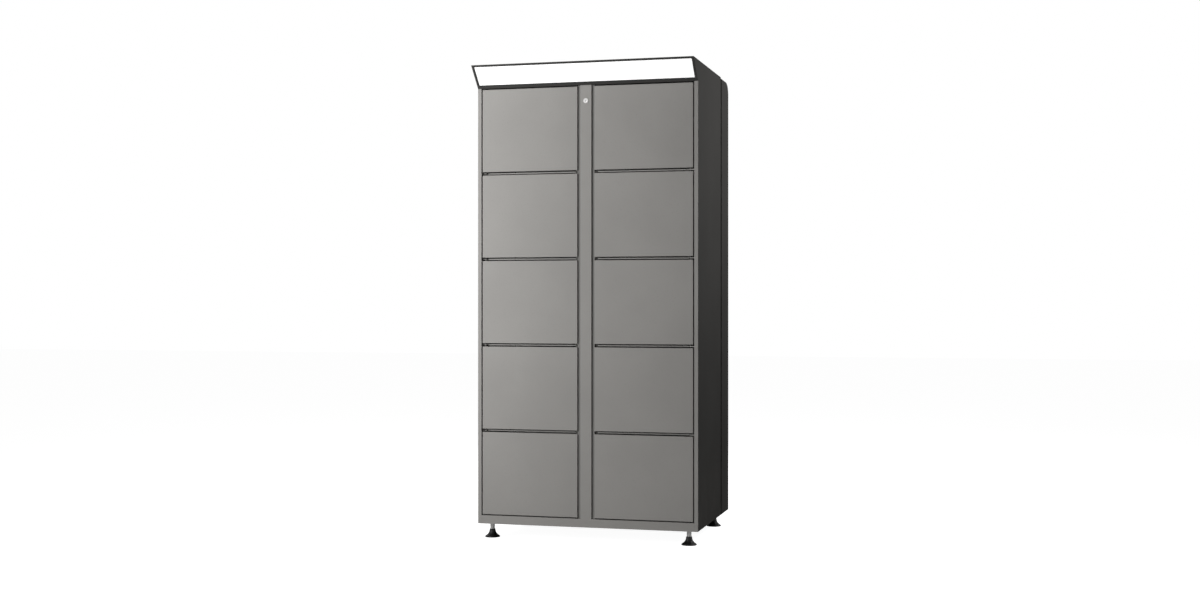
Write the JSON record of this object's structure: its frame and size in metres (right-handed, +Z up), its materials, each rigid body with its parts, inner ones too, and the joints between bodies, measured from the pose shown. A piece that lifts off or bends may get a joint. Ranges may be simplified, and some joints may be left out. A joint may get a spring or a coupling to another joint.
{
  "type": "modular parcel locker",
  "caption": "Free-standing two-column parcel locker: flush doors on concealed pivots, hook locks in a centre channel, leaning blank sign header, rear service cover and levelling feet.",
  "frame": {"origin": "on the floor under the middle of the cabinet's box", "axes": "+Z up along the height, -Y towards the doors, +X to the right of someone facing them"},
  "size_m": [0.92, 0.775, 1.93],
  "materials": {
    "carcass_paint": "fine-textured powder coat, dark anthracite",
    "front_paint": "fine-textured powder coat, warm mid grey",
    "inner_paint": "smooth powder coat, mid grey",
    "sign_white": "opal acrylic sheet, blank",
    "lamp": "diffuser",
    "steel": "zinc plated",
    "zinc": "die cast",
    "chrome": "bright",
    "rubber": "matt black",
    "foot_plastic": "black moulded plastic",
    "board": "solder mask"
  },
  "bodies": {
    "carcass": {"left_side_panel": "carcass_paint", "right_side_panel": "carcass_paint", "left_stile": "front_paint", "right_stile": "front_paint", "left_divider": "inner_paint", "right_divider": "inner_paint", "left_shelves": "inner_paint", "right_shelves": "inner_paint", "lock_housings": "zinc", "door_bumpers": "rubber", "hinge_pins": "steel", "bottom_rail": "front_paint", "top_rail": "carcass_paint", "centre_mullion": "front_paint", "base_plate": "carcass_paint", "floor_panel": "inner_paint", "ceiling_panel": "inner_paint", "roof_panel": "carcass_paint", "back_panel": "inner_paint", "rear_cover": "carcass_paint", "cable_grommet": "rubber", "header_frame": "carcass_paint", "header_fascia": "sign_white", "light_strip": "lamp", "control_board": "board", "board_spacers": "zinc", "power_supply": "zinc", "key_barrel": "chrome", "key_nut": "steel", "foot_nuts": "steel"},
    "left_door_1": {"left_door_1": "front_paint"},
    "left_latch_1": {"left_latch_1": "steel"},
    "left_door_2": {"left_door_2": "front_paint"},
    "left_latch_2": {"left_latch_2": "steel"},
    "left_door_3": {"left_door_3": "front_paint"},
    "left_latch_3": {"left_latch_3": "steel"},
    "left_door_4": {"left_door_4": "front_paint"},
    "left_latch_4": {"left_latch_4": "steel"},
    "left_door_5": {"left_door_5": "front_paint"},
    "left_latch_5": {"left_latch_5": "steel"},
    "right_door_1": {"right_door_1": "front_paint"},
    "right_latch_1": {"right_latch_1": "steel"},
    "right_door_2": {"right_door_2": "front_paint"},
    "right_latch_2": {"right_latch_2": "steel"},
    "right_door_3": {"right_door_3": "front_paint"},
    "right_latch_3": {"right_latch_3": "steel"},
    "right_door_4": {"right_door_4": "front_paint"},
    "right_latch_4": {"right_latch_4": "steel"},
    "right_door_5": {"right_door_5": "front_paint"},
    "right_latch_5": {"right_latch_5": "steel"},
    "key_plug": {"key_plug": "chrome", "key_cam": "steel"},
    "front_left_foot": {"front_left_stud": "steel", "front_left_pad": "foot_plastic"},
    "front_right_foot": {"front_right_stud": "steel", "front_right_pad": "foot_plastic"},
    "rear_left_foot": {"rear_left_stud": "steel", "rear_left_pad": "foot_plastic"},
    "rear_right_foot": {"rear_right_stud": "steel", "rear_right_pad": "foot_plastic"}
  },
  "joints": [
    {"name": "door_left_1_hinge", "type": "hinge", "parent": "carcass", "child": "left_door_1", "pos_m": [-0.43, -0.2945, 0.2675], "axis": [0, 0, -1], "range_deg": [0, 115]},
    {"name": "latch_left_1_swing", "type": "hinge", "parent": "carcass", "child": "left_latch_1", "pos_m": [-0.029, -0.2305, 0.2675], "axis": [0, 0, -1], "range_deg": [0, 18]},
    {"name": "door_left_2_hinge", "type": "hinge", "parent": "carcass", "child": "left_door_2", "pos_m": [-0.43, -0.2945, 0.6185], "axis": [0, 0, -1], "range_deg": [0, 115]},
    {"name": "latch_left_2_swing", "type": "hinge", "parent": "carcass", "child": "left_latch_2", "pos_m": [-0.029, -0.2305, 0.6185], "axis": [0, 0, -1], "range_deg": [0, 18]},
    {"name": "door_left_3_hinge", "type": "hinge", "parent": "carcass", "child": "left_door_3", "pos_m": [-0.43, -0.2945, 0.9695], "axis": [0, 0, -1], "range_deg": [0, 115]},
    {"name": "latch_left_3_swing", "type": "hinge", "parent": "carcass", "child": "left_latch_3", "pos_m": [-0.029, -0.2305, 0.9695], "axis": [0, 0, -1], "range_deg": [0, 18]},
    {"name": "door_left_4_hinge", "type": "hinge", "parent": "carcass", "child": "left_door_4", "pos_m": [-0.43, -0.2945, 1.3205], "axis": [0, 0, -1], "range_deg": [0, 115]},
    {"name": "latch_left_4_swing", "type": "hinge", "parent": "carcass", "child": "left_latch_4", "pos_m": [-0.029, -0.2305, 1.3205], "axis": [0, 0, -1], "range_deg": [0, 18]},
    {"name": "door_left_5_hinge", "type": "hinge", "parent": "carcass", "child": "left_door_5", "pos_m": [-0.43, -0.2945, 1.6715], "axis": [0, 0, -1], "range_deg": [0, 115]},
    {"name": "latch_left_5_swing", "type": "hinge", "parent": "carcass", "child": "left_latch_5", "pos_m": [-0.029, -0.2305, 1.6715], "axis": [0, 0, -1], "range_deg": [0, 18]},
    {"name": "door_right_1_hinge", "type": "hinge", "parent": "carcass", "child": "right_door_1", "pos_m": [0.43, -0.2945, 0.2675], "axis": [0, 0, 1], "range_deg": [0, 115]},
    {"name": "latch_right_1_swing", "type": "hinge", "parent": "carcass", "child": "right_latch_1", "pos_m": [0.029, -0.2305, 0.2675], "axis": [0, 0, 1], "range_deg": [0, 18]},
    {"name": "door_right_2_hinge", "type": "hinge", "parent": "carcass", "child": "right_door_2", "pos_m": [0.43, -0.2945, 0.6185], "axis": [0, 0, 1], "range_deg": [0, 115]},
    {"name": "latch_right_2_swing", "type": "hinge", "parent": "carcass", "child": "right_latch_2", "pos_m": [0.029, -0.2305, 0.6185], "axis": [0, 0, 1], "range_deg": [0, 18]},
    {"name": "door_right_3_hinge", "type": "hinge", "parent": "carcass", "child": "right_door_3", "pos_m": [0.43, -0.2945, 0.9695], "axis": [0, 0, 1], "range_deg": [0, 115]},
    {"name": "latch_right_3_swing", "type": "hinge", "parent": "carcass", "child": "right_latch_3", "pos_m": [0.029, -0.2305, 0.9695], "axis": [0, 0, 1], "range_deg": [0, 18]},
    {"name": "door_right_4_hinge", "type": "hinge", "parent": "carcass", "child": "right_door_4", "pos_m": [0.43, -0.2945, 1.3205], "axis": [0, 0, 1], "range_deg": [0, 115]},
    {"name": "latch_right_4_swing", "type": "hinge", "parent": "carcass", "child": "right_latch_4", "pos_m": [0.029, -0.2305, 1.3205], "axis": [0, 0, 1], "range_deg": [0, 18]},
    {"name": "door_right_5_hinge", "type": "hinge", "parent": "carcass", "child": "right_door_5", "pos_m": [0.43, -0.2945, 1.6715], "axis": [0, 0, 1], "range_deg": [0, 115]},
    {"name": "latch_right_5_swing", "type": "hinge", "parent": "carcass", "child": "right_latch_5", "pos_m": [0.029, -0.2305, 1.6715], "axis": [0, 0, 1], "range_deg": [0, 18]},
    {"name": "key_turn", "type": "hinge", "parent": "carcass", "child": "key_plug", "pos_m": [0, -0.3025, 1.782], "axis": [0, -1, 0], "range_deg": [0, 90]},
    {"name": "foot_front_left_level", "type": "slide", "parent": "carcass", "child": "front_left_foot", "axis": [0, 0, 1], "range_m": [0, 0.015]},
    {"name": "foot_front_right_level", "type": "slide", "parent": "carcass", "child": "front_right_foot", "axis": [0, 0, 1], "range_m": [0, 0.015]},
    {"name": "foot_rear_left_level", "type": "slide", "parent": "carcass", "child": "rear_left_foot", "axis": [0, 0, 1], "range_m": [0, 0.015]},
    {"name": "foot_rear_right_level", "type": "slide", "parent": "carcass", "child": "rear_right_foot", "axis": [0, 0, 1], "range_m": [0, 0.015]}
  ]
}
